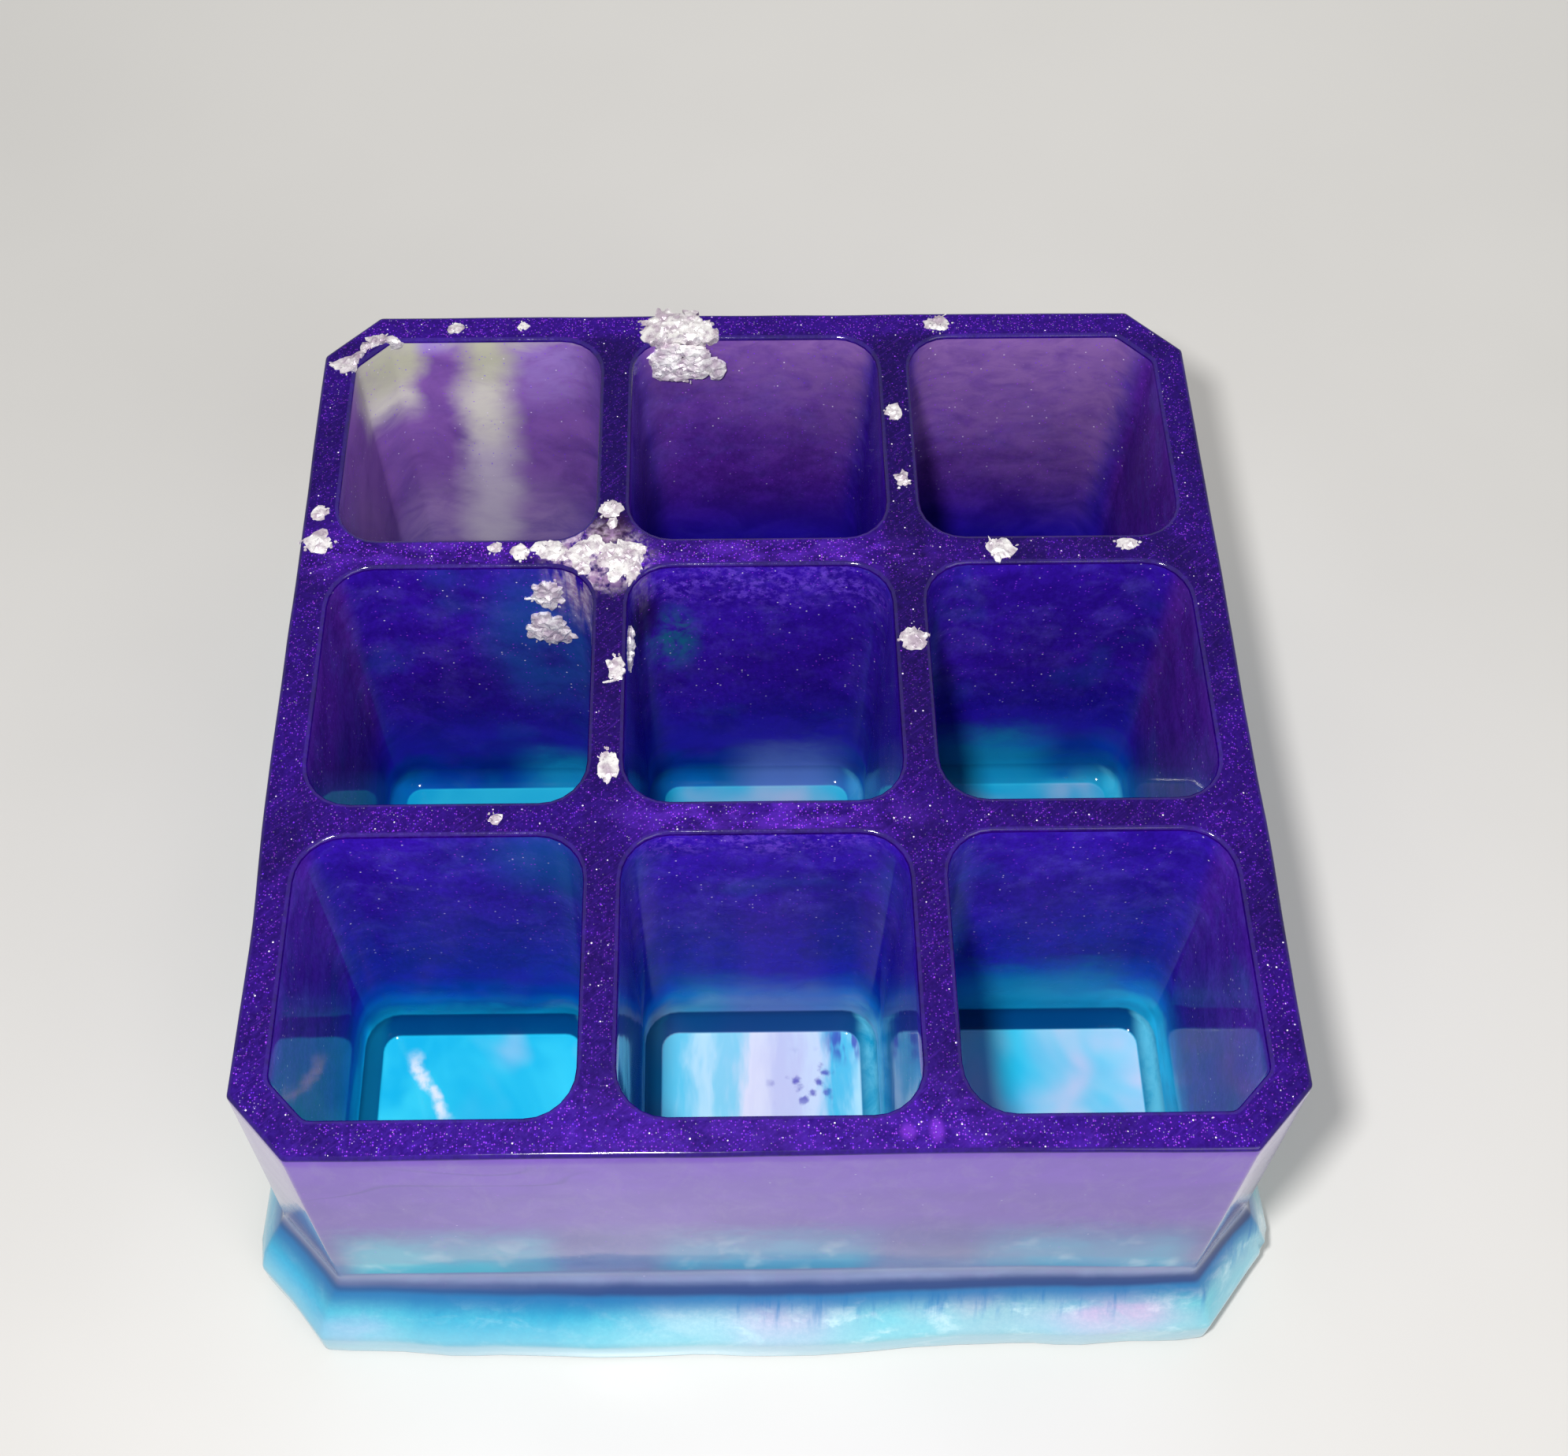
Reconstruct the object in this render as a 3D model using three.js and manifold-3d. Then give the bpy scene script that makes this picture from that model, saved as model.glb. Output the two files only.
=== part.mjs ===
// Nine-pocket desk organiser cast in epoxy resin, with silver leaf set into its rim and pocket walls.
// Three resin pours lie on top of one another and are bonded by the cure:
//   violet mica pour  - the upper part of the pocket grid, with the flat rim
//   indigo blue pour  - a thin band of the grid where the colour turns
//   teal pearl pour   - the pocket floors, the lowest stretch of wall and the bevelled foot
// Millimetres. +X right, +Y back, +Z up. Origin: centre of the underside.
import * as THREE from 'three';
import { mergeVertices } from 'three/addons/utils/BufferGeometryUtils.js';
import Module from 'manifold-3d';

// ---- driving dimensions ----
const TOP = 95;              // block width at the rim
const TOP_CORNER = 5.6;      // leg of the cut corner at the rim
const HEIGHT = 46;           // table to rim
const FLARE = 0.7;           // block grows by this much per side down to the foot
const LOW_CORNER = 6.2;      // leg of the cut corner where the block meets the foot
const BEVEL_TOP = 13;        // height where the block meets the foot's bevel
const FOOT = 103.6;          // foot width
const FOOT_CORNER = 7;       // leg of the foot's cut corner
const FOOT_EDGE = 4.3;       // height of the foot's upright edge

const PITCH = 30.5;          // pocket spacing, both ways
const POCKET = 27;           // pocket mouth
const POCKET_DEPTH = 43;
const POCKET_DRAFT = 0.9;    // each pocket wall leans in by this much over its depth
const POCKET_R = 4.5;        // upright corner radius of a pocket
const POCKET_CUT = 3.6;      // leg of the cut made in the outermost corner of each corner pocket
const CUT_R = 1.2;           // radius at both ends of that cut
const ARC_STEPS = 6;

const TEAL_TOP = 11;         // level of the teal pour
const BLUE_TOP = 17;         // level of the blue pour

const LEAF_DEPTH = 0.45;     // how deep a leaf flake is set
const LEAF_GAP = 0.3;        // clear margin between a flake and the edge of its recess

// Silver leaf lying in the rim: centre x, centre y, width, length.
const RIM_LEAVES = {
  leaf_back_left_corner_outer: [-45.3, 40.6, 2.6, 2.4],
  leaf_back_left_corner_inner: [-41.6, 43.9, 3.2, 2.2],
  leaf_back_rim_speck_left: [-33.2, 45.7, 1.8, 1.4],
  leaf_back_rim_speck_right: [-25.9, 46.0, 1.4, 1.2],
  leaf_back_rim_large: [-8.6, 45.8, 7.8, 3.0],
  leaf_back_rim_right: [20.4, 45.7, 3.2, 2.4],
  leaf_left_rim_rear: [-46.0, 20.5, 2.0, 2.2],
  leaf_left_rim_front: [-45.6, 16.8, 2.7, 2.6],
  leaf_left_divider_rear: [-15.4, 20.7, 2.4, 2.4],
  leaf_junction_large: [-14.0, 14.6, 4.8, 4.4],
  leaf_rear_cross_wall_speck: [-27.3, 15.7, 1.5, 1.3],
  leaf_rear_cross_wall_outer: [-24.7, 15.2, 2.4, 2.1],
  leaf_rear_cross_wall_middle: [-21.7, 15.5, 2.6, 2.4],
  leaf_rear_cross_wall_inner: [-18.6, 15.1, 2.8, 3.0],
  leaf_left_divider_middle: [-14.4, 1.2, 1.6, 3.2],
  leaf_left_divider_front: [-15.0, -9.7, 1.9, 3.6],
  leaf_front_cross_wall_speck: [-25.5, -15.3, 1.4, 1.2],
  leaf_right_divider_rear: [15.0, 33.3, 2.0, 2.0],
  leaf_right_divider_middle: [15.3, 24.2, 1.5, 2.3],
  leaf_rear_cross_wall_right: [24.8, 15.1, 3.1, 2.7],
  leaf_rear_cross_wall_far_right: [38.2, 15.8, 2.2, 1.7],
  leaf_right_divider_front: [15.3, 4.4, 3.0, 2.5],
};

// Silver leaf lying in a pocket wall: the wall it faces, the wall's place at the mouth,
// the centre along the wall, the depth of its centre below the rim, width, height.
const WALL_LEAVES = {
  leaf_back_middle_pocket_rear: ['y', PITCH + POCKET / 2, -8.6, 3.9, 6.4, 5.6],
  leaf_left_pocket_rear: ['y', POCKET / 2, -22.4, 11.4, 4.4, 5.4],
  leaf_left_pocket_rear_upper: ['y', POCKET / 2, -22.2, 5.0, 3.6, 4.6],
  leaf_centre_pocket_left: ['x', -POCKET / 2, 6.6, 5.2, 4.2, 5.6],
};

// ---- colours ----
const resin = (color) => new THREE.MeshStandardMaterial({ color, roughness: 0.12, metalness: 0 });
const VIOLET = resin(0x3a1a94);
const BLUE = resin(0x1f3fae);
const TEAL = resin(0x2fb9d6);
const SILVER = new THREE.MeshStandardMaterial({ color: 0xd9d9de, roughness: 0.25, metalness: 1 });

// ---- solid helpers ----
const wasm = await Module();
wasm.setup();

function toManifold(geometry) {
  const plain = geometry.clone();
  plain.deleteAttribute('normal');
  plain.deleteAttribute('uv');
  const g = mergeVertices(plain, 1e-5);
  return new wasm.Manifold(new wasm.Mesh({
    numProp: 3,
    vertProperties: new Float32Array(g.attributes.position.array),
    triVerts: new Uint32Array(g.index.array),
  }));
}

function toGeometry(solid) {
  const m = solid.getMesh();
  const g = new THREE.BufferGeometry();
  g.setAttribute('position', new THREE.BufferAttribute(new Float32Array(m.vertProperties), 3));
  g.setIndex(new THREE.BufferAttribute(new Uint32Array(m.triVerts), 1));
  g.computeVertexNormals();
  return g;
}

// Closed solid through a stack of outlines: [[z, [Vector2, ...]], ...], counter-clockwise, lowest first.
function loft(stations) {
  const n = stations[0][1].length;
  const pos = stations.flatMap(([z, ring]) => ring.flatMap((p) => [p.x, p.y, z]));
  const idx = [];
  for (let s = 0; s + 1 < stations.length; s += 1) {
    for (let i = 0; i < n; i += 1) {
      const a = s * n + i;
      const b = s * n + ((i + 1) % n);
      idx.push(a, b, b + n, a, b + n, a + n);
    }
  }
  for (const [a, b, c] of THREE.ShapeUtils.triangulateShape(stations[0][1], [])) idx.push(c, b, a);
  const last = (stations.length - 1) * n;
  for (const [a, b, c] of THREE.ShapeUtils.triangulateShape(stations.at(-1)[1], [])) {
    idx.push(last + a, last + b, last + c);
  }
  const g = new THREE.BufferGeometry();
  g.setAttribute('position', new THREE.BufferAttribute(new Float32Array(pos), 3));
  g.setIndex(idx);
  return toManifold(g);
}

// Polygon with each vertex replaced by a tangent arc: corners = [x, y, radius, steps].
function roundedOutline(corners) {
  const out = [];
  corners.forEach(([x, y, r, steps], i) => {
    const here = new THREE.Vector2(x, y);
    const [px, py] = corners.at(i - 1);
    const [nx, ny] = corners[(i + 1) % corners.length];
    const u = new THREE.Vector2(px, py).sub(here).normalize();
    const v = new THREE.Vector2(nx, ny).sub(here).normalize();
    const half = Math.acos(u.dot(v)) / 2;
    const centre = here.clone().add(u.clone().add(v).normalize().multiplyScalar(r / Math.sin(half)));
    const from = here.clone().addScaledVector(u, r / Math.tan(half)).sub(centre);
    const to = here.clone().addScaledVector(v, r / Math.tan(half)).sub(centre);
    const sweep = Math.atan2(from.cross(to), from.dot(to));
    for (let k = 0; k <= steps; k += 1) {
      out.push(from.clone().rotateAround(new THREE.Vector2(), (sweep * k) / steps).add(centre));
    }
  });
  return out;
}

function octagon(width, leg) {
  const h = width / 2;
  return [
    [h, -h + leg], [h, h - leg], [h - leg, h], [-h + leg, h],
    [-h, h - leg], [-h, -h + leg], [-h + leg, -h], [h - leg, -h],
  ].map(([x, y]) => new THREE.Vector2(x, y));
}

// ---- resin body ----
function bodyBlank() {
  return loft([
    [0, octagon(FOOT, FOOT_CORNER)],
    [FOOT_EDGE, octagon(FOOT, FOOT_CORNER)],
    [BEVEL_TOP, octagon(TOP + 2 * FLARE, LOW_CORNER)],
    [HEIGHT, octagon(TOP, TOP_CORNER)],
  ]);
}

// Pocket outline about the pocket's own centre; the corner that faces the block's corner is cut.
function pocketOutline(width, col, row) {
  const h = width / 2;
  const corners = [];
  for (const [sx, sy] of [[1, -1], [1, 1], [-1, 1], [-1, -1]]) {
    if (sx === col && sy === row) {
      const ends = [[h - POCKET_CUT, h], [h, h - POCKET_CUT]];
      if (sx * sy < 0) ends.reverse();
      for (const [a, b] of ends.reverse()) corners.push([sx * a, sy * b, CUT_R, 2]);
    } else {
      corners.push([sx * h, sy * h, POCKET_R, ARC_STEPS]);
    }
  }
  return roundedOutline(corners).map((p) => p.add(new THREE.Vector2(col * PITCH, row * PITCH)));
}

function pocket(col, row) {
  const lean = (2 * POCKET_DRAFT) / POCKET_DEPTH;
  return loft([
    [HEIGHT - POCKET_DEPTH, pocketOutline(POCKET - 2 * POCKET_DRAFT, col, row)],
    [HEIGHT + 1, pocketOutline(POCKET + lean, col, row)],
  ]);
}

function pocketedBody() {
  let body = bodyBlank();
  for (const col of [-1, 0, 1]) {
    for (const row of [-1, 0, 1]) body = body.subtract(pocket(col, row));
  }
  return body;
}

function slab(low, high) {
  const g = new THREE.BoxGeometry(FOOT + 10, FOOT + 10, high - low);
  return toManifold(g.translate(0, 0, (low + high) / 2));
}

// ---- silver leaf ----
// Torn outline of a flake; each flake's tears differ.
function leafOutline(width, length, margin, serial) {
  const points = 14;
  return Array.from({ length: points }, (_, k) => {
    const a = (2 * Math.PI * k) / points;
    const tear = 0.82 + 0.12 * Math.sin(3.1 * k * (1 + 0.13 * serial) + serial) + 0.06 * Math.cos(5 * k + serial);
    return new THREE.Vector2(
      Math.cos(a) * ((width / 2) * tear + margin),
      Math.sin(a) * ((length / 2) * tear + margin),
    );
  });
}

function rimLeaf([x, y, width, length], serial, margin, rise) {
  const ring = leafOutline(width, length, margin, serial).map((p) => p.add(new THREE.Vector2(x, y)));
  return loft([[HEIGHT - LEAF_DEPTH, ring], [HEIGHT + rise, ring]]);
}

function wallLeaf([facing, wall, along, below, width, height], serial, margin, rise) {
  const outline = leafOutline(width, height, margin, serial);
  const inset = wall - Math.sign(wall) * (POCKET_DRAFT * below) / POCKET_DEPTH;
  const flat = loft([[-LEAF_DEPTH, outline], [rise, outline]]);
  // The flake's thickness runs along its local Z; turn that to point out of the wall into the pocket.
  return facing === 'y'
    ? flat.rotate([90, 0, 0]).translate([along, inset, HEIGHT - below])
    : flat.rotate([90, 0, 0]).rotate([0, 0, 90]).translate([inset, along, HEIGHT - below]);
}

// ---- assembly ----
const flakes = [
  ...Object.entries(RIM_LEAVES).map(([name, spec]) => ({ name, spec, make: rimLeaf })),
  ...Object.entries(WALL_LEAVES).map(([name, spec]) => ({ name, spec, make: wallLeaf })),
];

const group = new THREE.Group();
group.name = 'resin_pocket_organiser';

function addNode(name, solid, material) {
  const mesh = new THREE.Mesh(toGeometry(solid), material);
  mesh.name = name;
  group.add(mesh);
}

const whole = pocketedBody();
let body = whole;
flakes.forEach(({ spec, make }, i) => {
  body = body.subtract(make(spec, i + 1, LEAF_GAP, 0.8));
});

addNode('teal_pearl_base_pour', body.intersect(slab(-1, TEAL_TOP)), TEAL);
addNode('indigo_blue_band_pour', body.intersect(slab(TEAL_TOP, BLUE_TOP)), BLUE);
addNode('violet_mica_grid_pour', body.intersect(slab(BLUE_TOP, HEIGHT + 1)), VIOLET);
flakes.forEach(({ name, spec, make }, i) => {
  addNode(name, whole.intersect(make(spec, i + 1, 0, 0.8)), SILVER);
});

export default group;
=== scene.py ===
"""Nine-pocket cast-resin organiser with silver leaf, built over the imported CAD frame.

Lengths in the constants below are millimetres unless they say otherwise; meshes are made in metres.
"""
import math
import random

import bpy
import bmesh
from mathutils import Matrix, Vector, noise
from mathutils.geometry import delaunay_2d_cdt


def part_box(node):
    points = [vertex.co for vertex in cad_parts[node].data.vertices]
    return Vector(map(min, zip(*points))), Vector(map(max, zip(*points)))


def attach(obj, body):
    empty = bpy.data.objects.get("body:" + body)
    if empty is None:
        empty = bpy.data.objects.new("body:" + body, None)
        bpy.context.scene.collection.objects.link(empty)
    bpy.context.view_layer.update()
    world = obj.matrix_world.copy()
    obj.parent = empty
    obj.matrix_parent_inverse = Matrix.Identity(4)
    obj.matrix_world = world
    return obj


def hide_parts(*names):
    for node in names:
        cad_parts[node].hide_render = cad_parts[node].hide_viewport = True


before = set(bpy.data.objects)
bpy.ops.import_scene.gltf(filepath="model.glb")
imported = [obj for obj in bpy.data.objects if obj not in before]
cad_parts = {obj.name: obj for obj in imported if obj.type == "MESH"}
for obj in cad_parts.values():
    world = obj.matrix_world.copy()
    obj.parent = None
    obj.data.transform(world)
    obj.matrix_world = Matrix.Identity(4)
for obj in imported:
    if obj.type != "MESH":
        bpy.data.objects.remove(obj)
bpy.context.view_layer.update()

MM = 0.001
BODY = "root"

# ---- dimensions shared with the CAD, taken from it where it gives them ----
# The body is a square with cut corners: width TOP at the rim, FLARE wider on each side where the
# bevelled foot begins. A corner's size is the length its 45 degree cut takes off each side.
TOP_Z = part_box("violet_mica_grid_pour")[1].z / MM
BLUE_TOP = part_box("indigo_blue_band_pour")[1].z / MM
TEAL_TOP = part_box("teal_pearl_base_pour")[1].z / MM
FOOT = (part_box("teal_pearl_base_pour")[1].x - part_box("teal_pearl_base_pour")[0].x) / MM
TOP = 95.0
TOP_CORNER = 5.6
FLARE = 0.7
LOW_CORNER = 6.2
BEVEL_TOP = 13.0
FOOT_CORNER = 7.0
PITCH = 30.5
POCKET = 27.0
FLOOR_Z = 3.0
DRAFT = 0.9
POCKET_R = 4.5
POCKET_CUT = 3.6
CUT_R = 1.3                     # radius at the ends of an outer pocket's corner cut
OFFSET_LEG = 2 - math.sqrt(2)   # growth of a corner cut per unit of outward offset

RIM_ROUND = 0.35                # rounding of the rim's outer edge
MOUTH_ROUND = 0.4               # rounding of the pocket mouths
COVE_RUN, COVE_RISE = 2.0, 1.5  # slope between a pocket's floor and its walls
ARC = 6                         # steps in an upright corner
FOOT_ROUND = 0.5                # rounding under the foot
EDGE_R, FOOT_EDGE_R = 0.7, 0.9  # radius at the ends of the outside's corner cuts
LEVEL_SLACK = 1e-6              # a profile station this near a level belongs to it
EVERY_TRIANGLE, INSIDE_ONLY = 0, 2   # what delaunay_2d_cdt returns of a triangulation
RIM_ZONE, POCKET_ZONE, OUTSIDE_ZONE, LIP_ZONE = range(4)   # material slots of a pour


# ---- outlines ----
def rounded_outline(corners, cuts):
    """Counter-clockwise ring through corners (x, y, radius, arc steps).

    Side i is cut into cuts[i % len(cuts)] lengths, so rings of one family match point for point."""
    ring = []
    n = len(corners)
    arcs = []
    for i, (x, y, r, steps) in enumerate(corners):
        here = Vector((x, y))
        u = (Vector(corners[i - 1][:2]) - here).normalized()
        v = (Vector(corners[(i + 1) % n][:2]) - here).normalized()
        half = u.angle(v) / 2
        centre = here + (u + v).normalized() * (r / math.sin(half))
        a = here + u * (r / math.tan(half)) - centre
        b = here + v * (r / math.tan(half)) - centre
        sweep = math.atan2(a.x * b.y - a.y * b.x, a.dot(b))
        arcs.append([centre + Vector((a.x * math.cos(t) - a.y * math.sin(t),
                                      a.x * math.sin(t) + a.y * math.cos(t)))
                     for t in (sweep * k / steps for k in range(steps + 1))])
    for i, arc in enumerate(arcs):
        ring += arc
        start, end = arc[-1], arcs[(i + 1) % n][0]
        lengths = cuts[i % len(cuts)]
        ring += [start.lerp(end, k / lengths) for k in range(1, lengths)]
    return ring


def octagon_ring(width, leg, radius):
    h = width / 2
    pts = [(h, -h + leg), (h, h - leg), (h - leg, h), (-h + leg, h),
           (-h, h - leg), (-h, -h + leg), (-h + leg, -h), (h - leg, -h)]
    return rounded_outline([(x, y, radius, 3) for x, y in pts], [36, 4])   # long sides, corner cuts


def pocket_ring(col, row, grow):
    """Outline of one pocket, its walls moved out by `grow`."""
    h = POCKET / 2 + grow
    r = POCKET_R + grow
    leg = POCKET_CUT + OFFSET_LEG * grow
    corners = []
    for sx, sy in ((1, -1), (1, 1), (-1, 1), (-1, -1)):
        if (sx, sy) == (col, row):
            ends = [(sx * (h - leg), sy * h), (sx * h, sy * (h - leg))]
            if sx * sy > 0:
                ends.reverse()
            corners += [(x, y, CUT_R, 3) for x, y in ends]
        else:
            corners.append((sx * h, sy * h, r, ARC))
    centre = Vector((col * PITCH, row * PITCH))
    return [p + centre for p in rounded_outline(corners, [6])]


def ripple(ring, z):
    """The casting's edges are not dead straight: a slow waver, strongest on the foot."""
    foot = max(0.0, min(1.0, (BEVEL_TOP - z) / 8))     # 0 on the block, 1 low on the foot
    out = []
    n = len(ring)
    for i, p in enumerate(ring):
        tangent = ring[(i + 1) % n] - ring[i - 1]
        normal = Vector((tangent.y, -tangent.x)).normalized()
        slow = noise.noise(Vector((p.x * 0.05, p.y * 0.05, z * 0.02 + 3.1)))
        quick = noise.noise(Vector((p.x * 0.16, p.y * 0.16, z * 0.03 + 9.4)))
        move = slow * (0.18 + 0.35 * foot) + quick * (0.06 + 0.30 * foot)
        if p.x < -44:      # the left side bows in a little ahead of the front corner
            move -= 0.3 * math.exp(-((p.y + 26) / 9) ** 2)
        if p.y < -44:      # the foot bellies out along the front and falls back at its right end
            move += foot * (1.2 * (1 - (p.x / 46) ** 2) - 0.012 * max(0.0, p.x + 5))
        out.append(p + normal * move)
    return out


# ---- profiles ----
def outer_profile():
    """Stations (z, width, leg, corner radius) of the outside, top down."""
    def block(z, inset=0.0):
        t = (TOP_Z - z) / (TOP_Z - BEVEL_TOP)
        width = TOP + 2 * FLARE * t - 2 * inset
        leg = TOP_CORNER + (LOW_CORNER - TOP_CORNER) * t - OFFSET_LEG * inset
        return (z, width, leg, EDGE_R)

    stations = []
    for k in range(4):
        a = math.radians(30 * k)
        stations.append(block(TOP_Z - RIM_ROUND * (1 - math.cos(a)), RIM_ROUND * (1 - math.sin(a))))
    stations += [block(z) for z in (44, 41, 37, 33, 29, 25, 21, BLUE_TOP, 15.5, 14)]
    low = block(BEVEL_TOP)
    # the bevel, as (share of the way out to the foot's edge, z)
    for t, z in ((0.0, 13.2), (0.03, 12.4), (0.10, 11.6), (0.19, TEAL_TOP), (0.45, 9.2),
                 (0.75, 6.8), (0.93, 5.15), (0.985, 4.5), (1.0, 4.0)):
        stations.append((z, low[1] + (FOOT - low[1]) * t, low[2] + (FOOT_CORNER - low[2]) * t,
                         FOOT_EDGE_R))
    stations += [(z, FOOT, FOOT_CORNER, FOOT_EDGE_R) for z in (2.2, 0.6)]
    for k in range(1, 4):
        a = math.radians(30 * k)
        inset = FOOT_ROUND * (1 - math.cos(a))
        stations.append((FOOT_ROUND - FOOT_ROUND * math.sin(a), FOOT - 2 * inset,
                         FOOT_CORNER - OFFSET_LEG * inset, FOOT_EDGE_R))
    return stations


def pocket_profile():
    """Stations (z, outward growth) of a pocket, mouth down."""
    def lean(z):
        return -DRAFT * (TOP_Z - z) / (TOP_Z - FLOOR_Z)

    stations = []
    for k in range(5):
        a = math.radians(22.5 * k)
        z = TOP_Z - MOUTH_ROUND * (1 - math.cos(a))
        stations.append((z, lean(z) + MOUTH_ROUND * (1 - math.sin(a))))
    stations += [(z, lean(z)) for z in (43, 37, 30, 23, BLUE_TOP, 14, TEAL_TOP, 8, 6)]
    # the slope down to the floor, as shares of its run and rise
    for run, rise in ((0.0, 1.0), (0.06, 0.72), (0.2, 0.46), (0.9, 0.05), (1.0, 0.0)):
        z = FLOOR_Z + COVE_RISE * rise
        stations.append((z, lean(z) - COVE_RUN * run))
    return stations


def between(stations, low, high):
    return [s for s in stations if low - LEVEL_SLACK <= s[0] <= high + LEVEL_SLACK]


# ---- meshes ----
def add_wall(bm, rings, inward):
    """Quads between rings given top down; `inward` walls face the pocket's middle."""
    rows = [[bm.verts.new((p.x * MM, p.y * MM, z * MM)) for p in ring] for z, ring in rings]
    for upper, lower in zip(rows, rows[1:]):
        on_lip = lower[0].co.z > (TOP_Z - MOUTH_ROUND) * MM - 1e-7
        pocket_zone = LIP_ZONE if on_lip else POCKET_ZONE
        for i in range(len(upper)):
            j = (i + 1) % len(upper)
            quad = (upper[i], lower[i], lower[j], upper[j])
            face = bm.faces.new(reversed(quad) if inward else quad)
            face.material_index = pocket_zone if inward else OUTSIDE_ZONE
            face.smooth = True
    return rows


def inside(p, ring):
    """Whether a point lies in a ring, by counting crossings."""
    hit = False
    for a, b in zip(ring, ring[1:] + ring[:1]):
        if (a.y > p.y) != (b.y > p.y) and p.x < (b.x - a.x) * (p.y - a.y) / (b.y - a.y) + a.x:
            hit = not hit
    return hit


def add_plate(bm, outer, holes, up, zone):
    """Flat face between an outer ring of verts and hole rings, in clean triangles.

    Its edge is sharp, so the walls keep their own normals up to it."""
    rings = [outer, *holes]
    verts = [v for ring in rings for v in ring]
    flat = [Vector((v.co.x / MM, v.co.y / MM)) for v in verts]
    loops, base = [], 0
    for ring in rings:
        loops.append([base + i for i in range(len(ring))])
        base += len(ring)
    loops = [loops[0]] + [list(reversed(l)) for l in loops[1:]]
    edges = [(l[i], l[(i + 1) % len(l)]) for l in loops for i in range(len(l))]
    _, _, tris, *_ = delaunay_2d_cdt(flat, edges, loops, EVERY_TRIANGLE if holes else INSIDE_ONLY, 1e-7)
    bm.verts.ensure_lookup_table()
    for tri in tris:
        mid = sum((flat[i] for i in tri), Vector((0, 0))) / 3
        outline, *gaps = ([flat[i] for i in loop] for loop in loops)
        if not inside(mid, outline) or any(inside(mid, gap) for gap in gaps):
            continue
        a, b, c = (flat[i] for i in tri)
        ccw = (b - a).x * (c - a).y - (b - a).y * (c - a).x > 0
        corner_verts = [verts[i] for i in tri]
        face = bm.faces.new(corner_verts if ccw == up else reversed(corner_verts))
        face.material_index = zone
    for ring in rings:
        for v, w in zip(ring, ring[1:] + ring[:1]):
            bm.edges.get((v, w)).smooth = False


def add_object(name, data):
    thing = bpy.data.objects.new(name, data)
    bpy.context.scene.collection.objects.link(thing)
    return thing


def mesh_object(bm, name, materials):
    mesh = bpy.data.meshes.new(name)
    bm.normal_update()
    bm.to_mesh(mesh)
    bm.free()
    for material in materials:
        mesh.materials.append(material)
    return add_object(name, mesh)


def add_piece(bm, name, materials, node):
    piece = mesh_object(bm, name, materials)
    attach(piece, BODY)
    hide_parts(node)


def pour(name, low, high, materials, node):
    """The part of the casting between two levels, as a closed solid."""
    bm = bmesh.new()
    levels = between(outer_profile(), low, high)
    shell = [(level[0], ripple(octagon_ring(*level[1:]), level[0])) for level in levels]
    outer = add_wall(bm, shell, False)
    tops, bottoms = [], []
    for row in (-1, 0, 1):
        for col in (-1, 0, 1):
            rings = [(z, pocket_ring(col, row, grow))
                     for z, grow in between(pocket_profile(), low, high)]
            rows = add_wall(bm, rings, True)
            tops.append(rows[0])
            bottoms.append(rows[-1])
    add_plate(bm, outer[0], tops, True, RIM_ZONE)
    if low < FLOOR_Z:
        for ring in bottoms:
            add_plate(bm, ring, [], True, POCKET_ZONE)
        add_plate(bm, outer[-1], [], False, OUTSIDE_ZONE)
    else:
        add_plate(bm, outer[-1], bottoms, False, OUTSIDE_ZONE)
    add_piece(bm, name, materials, node)


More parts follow.
